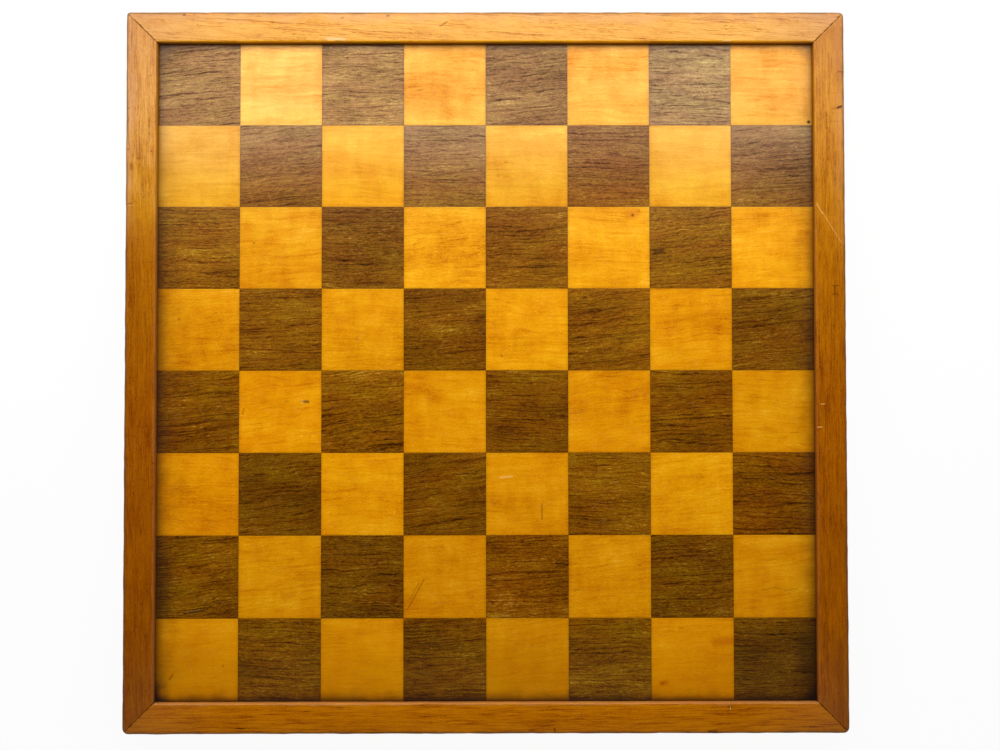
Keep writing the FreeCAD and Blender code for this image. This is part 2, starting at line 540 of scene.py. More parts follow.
# Each wall darkens the squares beside it: partly grime, partly painted shade from the wall.
for axis, sign, strength, reach, roundness in walls_grimed_and_shaded.values():
    gap = calc(wall_grime_and_shade, "MULTIPLY_ADD", spots[axis], -sign, walls)
    share = calc(wall_grime_and_shade, "DIVIDE", gap, calc(wall_grime_and_shade, "MULTIPLY", spread, reach))
    share = calc(wall_grime_and_shade, "POWER", calc(wall_grime_and_shade, "MAXIMUM", share, 0.0), roundness)
    fall = calc(wall_grime_and_shade, "POWER", 1 / math.e, share)
    taken = calc(wall_grime_and_shade, "MULTIPLY", strength, less_at_end) if axis == "X" else -strength
    left = calc(wall_grime_and_shade, "MULTIPLY_ADD", fall, taken, 1.0)
    clean = calc(wall_grime_and_shade, "MULTIPLY", clean, left)
feed(wall_grime_and_shade, made["Mask"], calc(wall_grime_and_shade, "SUBTRACT", 1.0, clean))

# %% Grime and painted shade in the corners
corner_size = 18
corner_heart = 3
far_corners_start = (-60, 60)
left_in_far_corners = 0.35

far_x = calc(wall_grime_and_shade, "ABSOLUTE", spots["X"])
far_y = calc(wall_grime_and_shade, "ABSOLUTE", spots["Y"])
from_corner = calc(wall_grime_and_shade, "SUBTRACT", 2 * walls, calc(wall_grime_and_shade, "ADD", far_x, far_y))
from_corner = calc(wall_grime_and_shade, "DIVIDE", from_corner, spread)
# Nearly black in the corners of the recess: partly grime, partly painted shade.
corner = fade(wall_grime_and_shade, from_corner, corner_size, corner_heart)
nearer = fade(wall_grime_and_shade, spots["Y"], *far_corners_start, 1.0, left_in_far_corners)
feed(wall_grime_and_shade, made["Corner"], calc(wall_grime_and_shade, "MULTIPLY", corner, nearer))
# What lies along the walls is partly grime and partly painted shade.
print("grime lies along", len(walls_grimed_and_shaded), "walls and in the corners between them")

# %% Group: scuffs
hair_angles = (0.35, 1.2, 2.3, 2.9)
hair_step = (31, 17)
hair_limits = (0.76, 0.84)

scuffs, given, made = new_group("Scuffs", {"Place": "Vector"}, {"Mask": "Float", "Rub": "Float"})
hairs = 0.0
for number, angle in enumerate(hair_angles):
    skewed = add_node(scuffs, "VectorRotate", {"Vector": given["Place"], "Angle": angle})
    aside = (hair_step[0] * number, hair_step[1] * number, 0)
    pushed = vector_calc(scuffs, "ADD", skewed.outputs["Vector"], aside)
    one_way = fade(scuffs, stretched_noise(scuffs, pushed, 18, 0.5, 0.0), *hair_limits)
    hairs = calc(scuffs, "MAXIMUM", hairs, one_way)
feed(scuffs, made["Mask"], hairs)
feed(scuffs, made["Rub"], stretched_noise(scuffs, given["Place"], 35, 35, 3.0))
print("hair scratches run in", len(hair_angles), "directions")

# %% [markdown]
# ## Marks on the squares and the rails
#
# Each mark has a name, its two ends as pixels of the photograph, half its width in
# millimetres, how strong it is and its colour. They are looked at one by one in the
# photograph and placed.

# %% The marks
ink = (0.020, 0.008, 0.004, 1)
brown = (0.16, 0.04, 0.004, 1)
pale_chip = (0.95, 0.55, 0.16, 1)
rust = (0.27, 0.060, 0.0, 1)
stain = (0.50, 0.105, 0.0, 1)
knot_grey = (0.30, 0.22, 0.10, 1)
scar = (0.72, 0.42, 0.20, 1)
dark_tints = (ink, brown, rust)


def spot(place, half_width, strength, tint):
    """A mark whose ends are the same."""
    return (place, place, half_width, strength, tint)


square_marks = {
    "worm_hole": spot((808.6, 122), 1.0, 1.0, ink),
    "spot_by_left_wall": spot((254, 243), 0.6, 0.7, brown),
    "dash_back": ((417, 90.5), (423, 89.5), 0.4, 0.5, brown),
    "faint_spot": spot((506, 162), 1.0, 0.3, brown),
    "faint_spot_two": spot((498, 176), 1.0, 0.25, brown),
    "pin_knot_halo": ((630, 214.5), (636, 213), 2.8, 0.45, stain),
    "pin_knot": spot((632.6, 215), 0.9, 0.85, brown),
    "pin_knot_two": spot((638.8, 211), 0.7, 0.5, rust),
    "dark_knot": ((656, 253), (661, 251), 1.6, 0.6, ink),
    "spot_left": spot((179, 319), 0.7, 0.6, brown),
    "spot_left_two": spot((216, 313), 0.6, 0.5, brown),
    "dash_left": ((355, 339.4), (358, 338.9), 0.45, 0.4, brown),
    "grey_knot": ((304.5, 401.6), (308, 401.8), 0.8, 0.75, ink),
    "grey_knot_heart": ((302.5, 401.3), (304, 401.3), 0.6, 0.55, knot_grey),
    "grey_knot_tail": ((285, 401.8), (288, 401.4), 0.5, 0.35, brown),
    "edge_stroke": ((243.8, 409), (242.6, 414), 0.4, 0.6, rust),
    "spot_middle": spot((501.6, 356), 0.6, 0.6, brown),
    "upright_scratch": ((542, 504), (542, 519), 0.5, 0.5, brown),
    "pale_streak": ((500, 477.5), (512, 476.5), 0.5, 0.5, pale_chip),
    "faint_dash": ((791, 433), (797, 432), 0.5, 0.25, brown),
    # The gouge's dark line is painted shadow in the groove, and its pale lip a painted highlight.
    "gouge_shadow": ((184, 613.8), (203, 610.8), 0.5, 0.75, ink),
    "gouge_tail_shadow": ((203, 610.8), (212, 606.0), 0.4, 0.55, ink),
    "gouge_lip_highlight": ((186, 612.2), (200, 609.6), 0.25, 0.14, scar),
    "left_wall_smudge": ((163, 562), (164, 612), 4.3, 0.36, ink),
    "near_corner_patch": ((806, 642), (807, 698), 6.0, 0.30, ink),
    "slant_stroke": ((169.5, 679), (172.5, 675), 0.7, 0.6, rust),
    "spot_near": spot((223, 666), 0.7, 0.5, brown),
    "cloudy_stain": ((284, 597), (292, 595), 2.6, 0.35, stain),
    "long_scratch": ((424, 579.5), (407.5, 609.4), 0.45, 0.45, brown),
    "long_scratch_two": ((419, 583), (410, 600), 0.4, 0.3, brown),
    "small_mark": ((575, 590.5), (579, 589.5), 0.5, 0.40, brown),
    "small_mark_two": ((638, 565.3), (640, 564.8), 0.45, 0.3, brown),
    "crack": ((762.5, 590), (775, 587.5), 0.45, 0.30, brown),
    "crack_middle": ((775, 587.5), (786, 590.5), 0.4, 0.22, brown),
    "crack_end": ((786, 590.5), (797, 588.7), 0.45, 0.30, brown),
    "brown_knot": ((661.5, 683.3), (666, 682.6), 1.7, 0.55, stain),
    "brown_knot_heart": ((662.3, 683.6), (662.9, 683.2), 0.8, 0.6, rust),
    "brown_knot_second": ((665.7, 682.2), (666.1, 682.2), 0.6, 0.35, rust),
    "dark_near_corner": ((752, 668), (800, 662), 21, 0.30, ink),
    "red_stain": ((716, 642.5), (733, 640.5), 2.8, 0.48, stain),
    "near_dash": ((679, 628.2), (683, 627.8), 0.45, 0.45, rust),
    "near_dash_two": ((708, 626.2), (712, 625.8), 0.45, 0.25, rust),
}

rail_marks = {
    "front_nick": ((728, 707), (732, 706.5), 0.5, 0.7, ink),
    "front_nick_rim": ((730.5, 706.5), (730.5, 709.5), 0.35, 0.5, pale_chip),
    "front_edge_stain": ((709, 731.5), (716, 731.8), 0.8, 0.6, ink),
    "front_notch": ((554.5, 728.5), (555, 732), 0.5, 0.8, ink),
    "front_notch_two": ((528, 731), (534, 730.5), 0.45, 0.7, ink),
    "front_tick": ((430.5, 719), (430.5, 725), 0.3, 0.4, brown),
    "front_tick_two": ((581.5, 712), (581.5, 718), 0.3, 0.4, brown),
    "front_arris_chip": ((508, 701.5), (509.5, 701.5), 0.4, 0.7, pale_chip),
    "front_dust": ((612.5, 701.3), (613.5, 701.3), 0.35, 0.6, scar),
    "front_dust_two": ((783, 700.5), (786, 700.5), 0.35, 0.5, scar),
    "right_long_scratch": ((817, 204), (822.5, 213.5), 0.45, 0.28, pale_chip),
    "right_long_scratch_two": ((822.5, 212), (841.5, 242.5), 0.4, 0.22, pale_chip),
    "right_dent": ((838, 107.5), (841, 106.5), 0.8, 0.9, ink),
    "right_dent_rim": ((832, 108.8), (838, 107.5), 0.4, 0.6, brown),
    "right_scratch_line": ((830.5, 121.5), (838.8, 121.3), 0.3, 0.5, brown),
    "right_nick": ((843, 57), (844.5, 58), 0.6, 0.8, ink),
    "right_nick_two": ((839, 71.5), (842, 71.7), 0.5, 0.7, ink),
    "right_dot": spot((817, 79), 0.6, 0.45, brown),
    "right_dot_two": spot((827.5, 128), 0.5, 0.5, brown),
    "right_dot_three": spot((828, 159), 0.7, 0.75, brown),
    "right_dot_four": spot((838.5, 201), 0.6, 0.5, brown),
    "right_tick": ((832.5, 285.7), (839, 285.5), 0.35, 0.7, ink),
    "right_tick_two": ((833, 294), (838.5, 294), 0.35, 0.7, ink),
    "right_tick_bridge": ((835.5, 286), (835.5, 294), 0.3, 0.4, brown),
    "right_flame": ((822.5, 380), (824, 398), 0.9, 0.40, rust),
    "right_chip": ((821, 404), (824.6, 404), 0.35, 0.45, pale_chip),
    "right_chip_two": ((817.5, 427), (822, 427), 0.35, 0.60, pale_chip),
    "right_cross": ((838, 450), (844, 456), 0.3, 0.45, brown),
    "right_inner_streak": ((824.5, 623), (825, 647), 0.8, 0.55, brown),
    "right_inner_blot": ((822, 664), (822, 672), 1.1, 0.40, brown),
    "right_inner_streak_two": ((825, 687), (825, 695), 0.7, 0.5, brown),
    "right_near_streak": ((840, 640), (842, 722), 1.6, 0.40, brown),
    "back_dash": ((440, 26), (447, 21.8), 0.45, 0.75, brown),
    "back_spot": ((165, 11.5), (167, 11.5), 0.6, 0.8, ink),
    "back_fleck": ((183, 14.7), (185, 14.5), 0.5, 0.8, ink),
    "back_fleck_two": ((341.5, 18), (343, 17.2), 0.5, 0.7, ink),
    "back_fleck_three": ((387, 15.7), (389, 15.5), 0.5, 0.7, ink),
    "back_fleck_four": ((457, 15.5), (459, 15.5), 0.4, 0.6, ink),
    "back_fleck_five": ((646, 13), (649, 13), 0.5, 0.8, ink),
    "back_fleck_six": ((724, 25.9), (727, 25.5), 0.4, 0.6, brown),
    "back_smudge": ((166, 33), (174, 34.7), 0.6, 0.35, brown),
    "back_chip": ((327, 38.3), (344, 39.3), 0.9, 0.45, scar),
    "back_chip_shade": ((336, 41), (352, 41.8), 0.5, 0.6, brown),
    "back_chip_two": ((723, 41), (731, 41), 0.5, 0.5, scar),
    "back_tick": ((540, 18), (540, 25), 0.3, 0.4, brown),
    "left_tick": ((125.5, 108), (129.5, 108), 0.4, 0.7, ink),
    "left_tick_two": ((126, 121), (129.5, 121), 0.3, 0.5, ink),
    "left_tick_three": ((125.5, 149), (129, 149), 0.4, 0.7, ink),
    "left_tick_four": ((125.5, 203.5), (131.5, 203.5), 0.4, 0.6, ink),
    "left_tick_pale": ((126, 205.2), (133, 205.2), 0.35, 0.25, pale_chip),
    "left_spot": spot((135, 108), 0.6, 0.45, brown),
    "left_spot_two": spot((151, 151), 0.6, 0.75, brown),
    "left_spot_three": spot((149.5, 133), 0.6, 0.6, brown),
    "left_blotch": ((149, 119), (149, 126), 0.7, 0.45, brown),
    "left_blotch_two": ((131, 164), (131.5, 169), 0.9, 0.5, brown),
    "left_cross_line": ((143, 262), (155, 262), 0.3, 0.5, brown),
    "left_dust": ((157, 397), (157, 398.5), 0.4, 0.5, scar),
    "left_dust_two": ((156.5, 489), (157, 494), 0.5, 0.45, scar),
}


def in_millimetres(pixel, level):
    """A pixel's place on a level of the board, in millimetres."""
    return tuple(place_at(pixel, level) / mm)


def on_strip(mark, strip):
    """Whether a mark starts on this strip of squares. Strips count from the left."""
    return int((place_at(mark[0]).x + wall_reach) // square_pitch) == strip


def on_dark_square(mark):
    """Whether a mark starts on a dark square. The back left one is dark."""
    place = place_at(mark[0])
    strip = (place.x + wall_reach) // square_pitch
    row = (wall_reach - place.y) // square_pitch
    return (strip + row) % 2 == 0


def add_marks(tree, place, colour, marks, level):
    """Lays marks over a colour, one after the other. Gives the colour and where it is dark."""
    covered = 0.0
    for start, end, half_width, strength, tint in marks:
        inputs = {
            "Place": place,
            "From": in_millimetres(start, level),
            "To": in_millimetres(end, level),
            "Half width": half_width,
        }
        mask = calc(tree, "MULTIPLY", use_group(tree, one_mark, inputs)["Mask"], strength)
        colour = blend(tree, mask, colour, tint)
        if tint in dark_tints:
            covered = calc(tree, "MAXIMUM", covered, mask)
    return colour, covered


print(len(square_marks), "marks on the squares,", len(rail_marks), "on the rails")

# %% [markdown]
# ## A varnished finish
#
# Every varnished wood here ends in the same shader: a colour, a fine relief through a Bump node,
# and a coat of varnish over both. The Coat Weight follows the grain, because varnish sinks into
# open pores and mirrors nothing there, and it is taken off where grime, painted shade and dark
# marks lie. That keeps the dark lines deep where the lamp blooms. Numbers that are the same all
# over are typed into the shader's own sockets.

# %% A wood shader
coat_index = 1.6
coat_roughness = 0.22
bare_mirror = 0.02
polished_roughness = 0.4
dulled_roughness = 0.55


def new_material(name):
    """A material with only a shader and an output, and its node tree."""
    material = bpy.data.materials.new(name)
    material.use_nodes = True
    tree = material.node_tree
    tree.nodes.clear()
    shader = tree.nodes.new("ShaderNodeBsdfPrincipled")
    output = tree.nodes.new("ShaderNodeOutputMaterial")
    tree.links.new(shader.outputs["BSDF"], output.inputs["Surface"])
    return material, tree, shader


def raise_relief(tree, shader, height, depth):
    """Feeds a relief to the shader's Normal. Its depth is in millimetres."""
    bump = add_node(tree, "Bump", {"Height": height, "Distance": depth * mm, "Strength": 1.0})
    feed(tree, shader.inputs["Normal"], bump.outputs["Normal"])


def finish_wood(tree, shader, colour, height, depth, roughness, varnish=0.0):
    """Feeds a wood's colour, relief, roughness and varnish to its shader."""
    feed(tree, shader.inputs["Base Color"], colour)
    raise_relief(tree, shader, height, depth)
    feed(tree, shader.inputs["Roughness"], roughness)
    feed(tree, shader.inputs["Coat Weight"], varnish)
    shader.inputs["Specular IOR Level"].default_value = bare_mirror
    shader.inputs["Coat IOR"].default_value = coat_index
    shader.inputs["Coat Roughness"].default_value = coat_roughness


def handled_roughness(tree, worn):
    """The roughness of wood under varnish, which is dulled where hands rubbed it."""
    return fade(tree, worn["Rub"], 0.3, 0.7, polished_roughness, dulled_roughness)


def varnish_left(tree, tone, fullness, bare_spots):
    """How much varnish is left: little in the dark pores, none on the bare spots (grime, painted
    shade, glue and marks) and full elsewhere.
    """
    left = fade(tree, tone, -0.2, 1.2, 0.0, fullness)
    for mask in bare_spots:
        left = calc(tree, "MULTIPLY", left, calc(tree, "SUBTRACT", 1.0, mask, clamp=True))
    return left


# %% [markdown]
# ## From grain to colour
#
# The layers of the grain add up to one tone. Soft layers swing it about a middle, and sharp
# accents are laid on top. A colour ramp then turns the tone into the wood's own colours, so
# that what is darker is also redder, as in the real wood. The light falls off from back to
# front, and it shows the figure more in some rows than in others, so lightness, hue and the
# figure's keenness may change with the depth on the board. Those steps by depth are partly
# painted light and shade, laid over the colour to follow that fall-off.

# %% Tone, keenness and tint
def wood_tone(tree, grain, swings, middle, accents):
    """Adds the layers of the grain up to one tone, from how much each one swings it."""
    tone = middle - sum(swings.values()) / 2
    for layer, amount in (*swings.items(), *accents.items()):
        tone = calc(tree, "MULTIPLY_ADD", grain[layer], amount, tone)
    return tone


def by_depth(tree, place, steps):
    """A number that changes from front to back, in smooth steps that multiply up."""
    depth = split(tree, place)["Y"]
    total = 1.0
    for start, end, low, high in steps:
        total = calc(tree, "MULTIPLY", total, fade(tree, depth, start, end, low, high))
    return total


def as_keen_as_seen(tree, tone, middle, keenness):
    """Strengthens or weakens the figure about a middle tone."""
    return calc(tree, "MULTIPLY_ADD", calc(tree, "SUBTRACT", tone, middle), keenness, middle)


def tinted(tree, colour, tone, hue):
    """A colour made lighter or darker by a tone, and yellower or redder by a hue, about 1."""
    green = calc(tree, "MULTIPLY", tone, hue)
    return blend(tree, 1.0, colour, join(tree, tone, green, tone), "MULTIPLY")


# %% [markdown]
# ## The squares
#
# Both woods of the field go through one function, which reads a recipe. Three random numbers
# send each square to its own far-off part of the grain and give it a slope, a tone and a hue of
# its own. Over the wood's colour lie hair scratches, the bloom of the varnish near the front,
# the rim at the seams, the grime and painted shade along the walls, and the marks, in that order.

# %% What lies over a square
far_off = (900, 700, 500)
seam_reach = 0.6
seam_fall = 1.5
seam_brown = (0.085, 0.020, 0.001, 1)
# The near-black of the corners is partly grime and partly painted shade.
grime_and_shade_black = (0.022, 0.014, 0.012, 1)
corner_strength = 0.85
near_bloom = (0.20, 0.12, 0.10, 1)
bloom_start = -140


def sunk_seams(tree, height, square):
    """The relief of a square with its edges rounded down towards the seams."""
    fall = fade(tree, square["Seam"], seam_reach, 0.0, 0.0, seam_fall)
    return calc(tree, "SUBTRACT", height, fall)


def soil_and_shade(tree, place, square, colour, wood):
    """Lays the dark rim at the seams, and the grime and painted shade at the walls and corners,
    over a square's colour.
    """
    rim_width, rim_strength = wood["rim"]
    rim = fade(tree, square["Seam"], rim_width, 0.0)
    colour = laid(tree, colour, seam_brown, rim, rim_strength)
    # Grime and painted shade along the walls and in the corners.
    dirt_and_shade = use_group(tree, wall_grime_and_shade, {"Place": place})
    colour = blend(tree, dirt_and_shade["Mask"], colour, wood["grime"])
    colour = laid(tree, colour, grime_and_shade_black, dirt_and_shade["Corner"], corner_strength)
    return colour, calc(tree, "MAXIMUM", dirt_and_shade["Mask"], dirt_and_shade["Corner"])


def own_share(tree, place, number, limits, steps):
    """A square's own number between two limits, less far from their middle by depth."""
    own = fade(tree, number, 0, 1, *limits)
    return as_keen_as_seen(tree, own, sum(limits) / 2, by_depth(tree, place, steps))


# %% One wood on one strip
def veneer(wood, strip):
    """The squares of one wood on one strip."""
    material, tree, shader = new_material("%s_veneer_%d" % (wood["name"], strip + 1))
    place = use_group(tree, millimetres, {})["Place"]
    square = use_group(tree, square_place, {"Place": place})
    chance = split(tree, square["Chance"])
    given = {
        "Place": place,
        "Shift": vector_calc(tree, "MULTIPLY", square["Chance"], far_off),
        "Slope": fade(tree, chance["Y"], 0, 1, *wood["slope"]),
        "Wobble": wood["wobble"],
        "Growth": wood["growth"],
    }
    grain = use_group(tree, wood_grain, given)
    tone = wood_tone(tree, grain, wood["swings"], wood["base"], wood["accents"])
    # Keenness, lightness and hue by depth are partly painted light and shade that follow the lamp's
    # fall-off.
    keenness = by_depth(tree, place, wood["keenness"])
    tone = as_keen_as_seen(tree, tone, wood["middle"], keenness)

    own_tone = own_share(tree, place, chance["Z"], wood["own_tone"], wood["alike"])
    lightness = calc(tree, "MULTIPLY", own_tone, by_depth(tree, place, wood["lightness"]))
    hue = own_share(tree, place, chance["X"], wood["own_hue"], wood["alike"])
    hue = calc(tree, "MULTIPLY", hue, by_depth(tree, place, wood["hue"]))
    hue = calc(tree, "MULTIPLY", hue, fade(tree, grain["Hue"], 0.35, 0.65, *wood["hue_wander"]))
    colour = tinted(tree, ramp(tree, tone, wood["colours"]), lightness, hue)

    worn = use_group(tree, scuffs, {"Place": place})
    colour = laid(tree, colour, pale_chip, worn["Mask"], wood["scuffed"])
    bloom = fade(tree, split(tree, place)["Y"], bloom_start, -walls, 0.0, wood["bloom"])
    colour = blend(tree, bloom, colour, near_bloom)
    colour, dirt_and_shade = soil_and_shade(tree, place, square, colour, wood)
    marks = [m for m in square_marks.values() if on_strip(m, strip)]
    marks = [m for m in marks if on_dark_square(m) == wood["dark"]]
    colour, marked = add_marks(tree, place, colour, marks, square_top)

    relief = sunk_seams(tree, tone, square)
    fullness = fade(tree, chance["X"], 0, 1, *wood["varnish"])
    varnish = varnish_left(tree, tone, fullness, [dirt_and_shade, marked])
    roughness = handled_roughness(tree, worn)
    finish_wood(tree, shader, colour, relief, wood["depth"], roughness, varnish)
    return material


# %% [markdown]
# ### The pale squares
#
# The pale wood is close-grained and yellowed by varnish to a warm amber. It has hardly any
# pores: what shows is a cloudy figure, faint streaks and small bright flecks. The steps by depth
# say where a change starts and ends, in millimetres from the middle, and its two values. Near
# the back the squares are more alike in tone and hue.

# %% Pale veneer
pale_wood = {
    "name": "pale",
    "dark": False,
    "slope": (-0.03, 0.10),
    "wobble": 5.0,
    "growth": 6.0,
    "base": 0.56,
    "swings": {
        "Cloud": 0.72,
        "Figure": 0.44,
        "Patch": 0.34,
        "Streak": 0.46,
        "Ripple": 0.27,
        "Fleck": 0.34,
    },
    # Glint adds painted highlights to the tone.
    "accents": {"Line": -0.12, "Glint": 0.20},
    "middle": 0.56,
    # The steps by depth for keenness, lightness and hue are partly painted light and shade.
    "keenness": (
        (-190, -140, 0.62, 1.14),
        (40, 75, 1.0, 1.15),
        (85, 125, 1.0, 0.68),
        (140, 175, 1.0, 1.15),
    ),
    "colours": (
        (0.00, (0.34, 0.080, 0.0, 1)),
        (0.30, (0.58, 0.200, 0.0, 1)),
        (0.55, (0.70, 0.275, 0.0, 1)),
        (0.80, (0.79, 0.350, 0.002, 1)),
        (1.00, (0.86, 0.430, 0.020, 1)),
    ),
    "own_tone": (0.92, 1.05),
    "own_hue": (0.96, 1.04),
    "alike": ((120, 160, 1.0, 0.45),),
    # Lightness and hue by depth: partly painted light and shade.
    "lightness": ((-walls, -150, 1.0, 1.07), (-60, 0, 1.0, 0.93), (40, 95, 1.0, 0.965)),
    "hue": (
        (-walls, -150, 1.03, 1.0),
        (-130, 20, 0.945, 1.0),
        (85, 120, 1.0, 1.14),
        (148, 175, 1.0, 0.915),
    ),
    "hue_wander": (0.97, 1.03),
    "scuffed": 0.10,
    "bloom": 0.0,
    "rim": (2.2, 0.14),
    # Colour of the grime and painted shade along the walls.
    "grime": (0.062, 0.022, 0.004, 1),
    "varnish": (0.62, 1.05),
    "depth": 0.05,
}

# %% [markdown]
# ### The dark squares
#
# The dark wood is open-grained. Its growth lines and pores are nearly black, its ground goes
# from olive to red-brown, and its ripples stand up enough to glint where the light comes
# across them. Painted glints, bright flecks in its tone, are laid over that as well.

# %% Dark veneer
dark_wood = {
    "name": "dark",
    "dark": True,
    "slope": (-0.03, 0.12),
    "wobble": 4.0,
    "growth": 3.0,
    "base": 0.58,
    "swings": {"Cloud": 0.70, "Patch": 0.26, "Streak": 0.60, "Ripple": 0.52, "Fleck": 0.46},
    # Glint adds painted highlights to the tone.
    "accents": {"Line": -0.26, "Pore": -0.20, "Vein": -0.22, "Glint": 0.28},
    "middle": 0.50,
    # The steps by depth for keenness and hue are partly painted light and shade.
    "keenness": ((-150, -50, 1.0, 0.93), (80, 125, 1.0, 0.80), (140, 175, 1.0, 1.14)),
    "colours": (
        (0.00, (0.030, 0.008, 0.0, 1)),
        (0.25, (0.090, 0.025, 0.0, 1)),
        (0.50, (0.180, 0.060, 0.0, 1)),
        (0.75, (0.280, 0.112, 0.0, 1)),
        (1.00, (0.470, 0.260, 0.020, 1)),
    ),
    "own_tone": (0.82, 1.16),
    "own_hue": (0.94, 1.06),
    "alike": (),
    "lightness": (),
    # Hue by depth: partly painted light.
    "hue": ((-170, -140, 1.15, 1.0), (-110, -30, 0.94, 1.0), (125, 170, 1.0, 1.18)),
    "hue_wander": (0.90, 1.10),
    "scuffed": 0.08,
    "bloom": 0.04,
    "rim": (2.0, 0.10),
    # Colour of the grime and painted shade along the walls.
    "grime": (0.034, 0.014, 0.008, 1),
    "varnish": (0.66, 1.08),
    "depth": 0.06,
}

# %% Dress the squares
def dress(node_name, material):
    """Gives a node of the frame its finish."""
    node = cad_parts[node_name]
    node.data.materials.clear()
    node.data.materials.append(material)


for strip in range(squares_per_side):
    dress("strip_%d_light" % (strip + 1), veneer(pale_wood, strip))
    dress("strip_%d_dark" % (strip + 1), veneer(dark_wood, strip))
print("dressed", 2 * squares_per_side, "groups of squares")

# %% [markdown]
# ## The rails
#
# A maker glues up the frame first and rounds its corners and edges afterwards, so here too the
# whole frame is one ring until the end. It starts as a block. Its top and bottom faces are
# inset by a rail's width and bridged, which opens the middle. Each corner is bevelled with its
# own radius, because hands have worn the near ones more. Then the edges are rounded, the slot
# for the core's tongue is sunk into the inner wall, and the long edges are cut into short
# spans. Last, four copies are bisected along the mitres, which leaves one rail each.

# %% Adding, selecting and changing pieces
def add_block(place, size):
    """A box with its middle at a place."""
    bpy.ops.object.select_all(action="DESELECT")
    bpy.ops.mesh.primitive_cube_add(size=1, location=place, scale=size)
    bpy.ops.object.transform_apply(location=True, rotation=True, scale=True)
    return bpy.context.object


def only(piece):
    """Selects one object and nothing else, and makes it the active one."""
    bpy.ops.object.select_all(action="DESELECT")
    piece.select_set(True)
    bpy.context.view_layer.objects.active = piece


def apply_modifier(piece, kind, **settings):
    """Puts a modifier with its settings on a piece and applies it."""
    only(piece)
    bpy.ops.object.modifier_add(type=kind)
    modifier = piece.modifiers[-1]
    for name, value in settings.items():
        setattr(modifier, name, value)
    bpy.ops.object.modifier_apply(modifier=modifier.name)


def cloud_texture(name, size):
    """A cloudy texture for a Displace modifier, by the size of its clouds."""
    texture = bpy.data.textures.new(name, "CLOUDS")
    texture.noise_scale = size
    return texture


def start_shaping(piece, kind):
    """Goes into edit mode on a piece, to select vertices, edges or faces."""
    only(piece)
    bpy.ops.object.mode_set(mode="EDIT")
    bpy.ops.mesh.select_mode(type=kind)
    bpy.ops.mesh.select_all(action="DESELECT")


def stop_shaping():
    bpy.ops.object.mode_set(mode="OBJECT")


def pick(piece, kind, wanted):
    """In edit mode, selects the parts of a piece that are wanted and counts them."""
    bpy.ops.mesh.select_mode(type={"verts": "VERT", "edges": "EDGE", "faces": "FACE"}[kind])
    bpy.ops.mesh.select_all(action="DESELECT")
    mesh = bmesh.from_edit_mesh(piece.data)
    chosen = [part for part in getattr(mesh, kind) if wanted(part)]
    for part in chosen:
        part.select_set(True)
    bmesh.update_edit_mesh(piece.data)
    return len(chosen)


def middle_of(edge):
    return (edge.verts[0].co + edge.verts[1].co) / 2


def reach_of(point):
    """How far out a point lies, as the frame's sides count it."""
    return max(abs(point.x), abs(point.y))


# %% The block and its opening
hair = 0.01 * mm
rail_height = rail_top - rail_foot

ring_middle = (0, 0, (rail_foot + rail_top) / 2)
ring = add_block(ring_middle, (2 * board_reach, 2 * board_reach, rail_height))
ring.name = "frame_ring"
start_shaping(ring, "FACE")
pick(ring, "faces", lambda face: abs(face.normal.z) > 0.9)
bpy.ops.mesh.inset(thickness=rail_width)
bpy.ops.mesh.bridge_edge_loops()
stop_shaping()
print("the ring has", len(ring.data.polygons), "faces")

# %% Rounding the corners and the edges
corner_radii = {(-1, 1): 2.3 * mm, (1, 1): 3.0 * mm, (-1, -1): 4.0 * mm, (1, -1): 3.6 * mm}
corner_segments = 8
rounded_rims = (
    ("top outer", rail_top, True, 1.8 * mm, 5),
    ("top inner", rail_top, False, 1.0 * mm, 4),
    ("foot outer", rail_foot, True, 0.6 * mm, 2),
)


def is_corner(edge, side_x, side_y):
    """Whether an edge is the upright one at this outer corner of the ring."""
    return all(
        abs(v.co.x - side_x * board_reach) < hair and abs(v.co.y - side_y * board_reach) < hair
        for v in edge.verts
    )


def on_rim(edge, level, outer):
    """Whether an edge runs along the ring's outer or inner rim at a level."""
    flat = all(abs(v.co.z - level) < hair for v in edge.verts)
    walls = [face for face in edge.link_faces if abs(face.normal.z) < 0.1]
    outside = reach_of(middle_of(edge)) > wall_reach + rail_width / 2
    return flat and len(walls) == 1 and outside == outer


start_shaping(ring, "EDGE")
for (side_x, side_y), radius in corner_radii.items():
    pick(ring, "edges", lambda edge: is_corner(edge, side_x, side_y))
    bpy.ops.mesh.bevel(offset=radius, segments=corner_segments, affect="EDGES")
for rim, level, outer, radius, segments in rounded_rims:
    count = pick(ring, "edges", lambda edge: on_rim(edge, level, outer))
    bpy.ops.mesh.bevel(offset=radius, segments=segments, affect="EDGES")
    print("rounded", count, rim, "edges by", round(radius / mm, 1), "mm")
stop_shaping()

# %% The slot for the tongue
slot_levels = (rail_foot + 5.85 * mm, rail_foot + 11.15 * mm)
slot_depth = 5.5 * mm


def in_slot(face):
    """Whether a face is the part of the inner wall that the slot is sunk into."""
    middle = face.calc_center_median()
    inner = reach_of(middle) < wall_reach + hair and abs(face.normal.z) < 0.1
    return inner and slot_levels[0] < middle.z < slot_levels[1]


start_shaping(ring, "FACE")
for level in slot_levels:
    bpy.ops.mesh.select_all(action="SELECT")
    bpy.ops.mesh.bisect(plane_co=(0, 0, level), plane_no=(0, 0, 1))
slot_faces = pick(ring, "faces", in_slot)
bpy.ops.mesh.extrude_region_shrink_fatten(
    TRANSFORM_OT_shrink_fatten={"value": -slot_depth, "use_even_offset": True}
)
stop_shaping()
print("the slot was sunk from", slot_faces, "faces")

# %% Short spans along the rails
span_count = 140
long_edge = 3 * rail_width

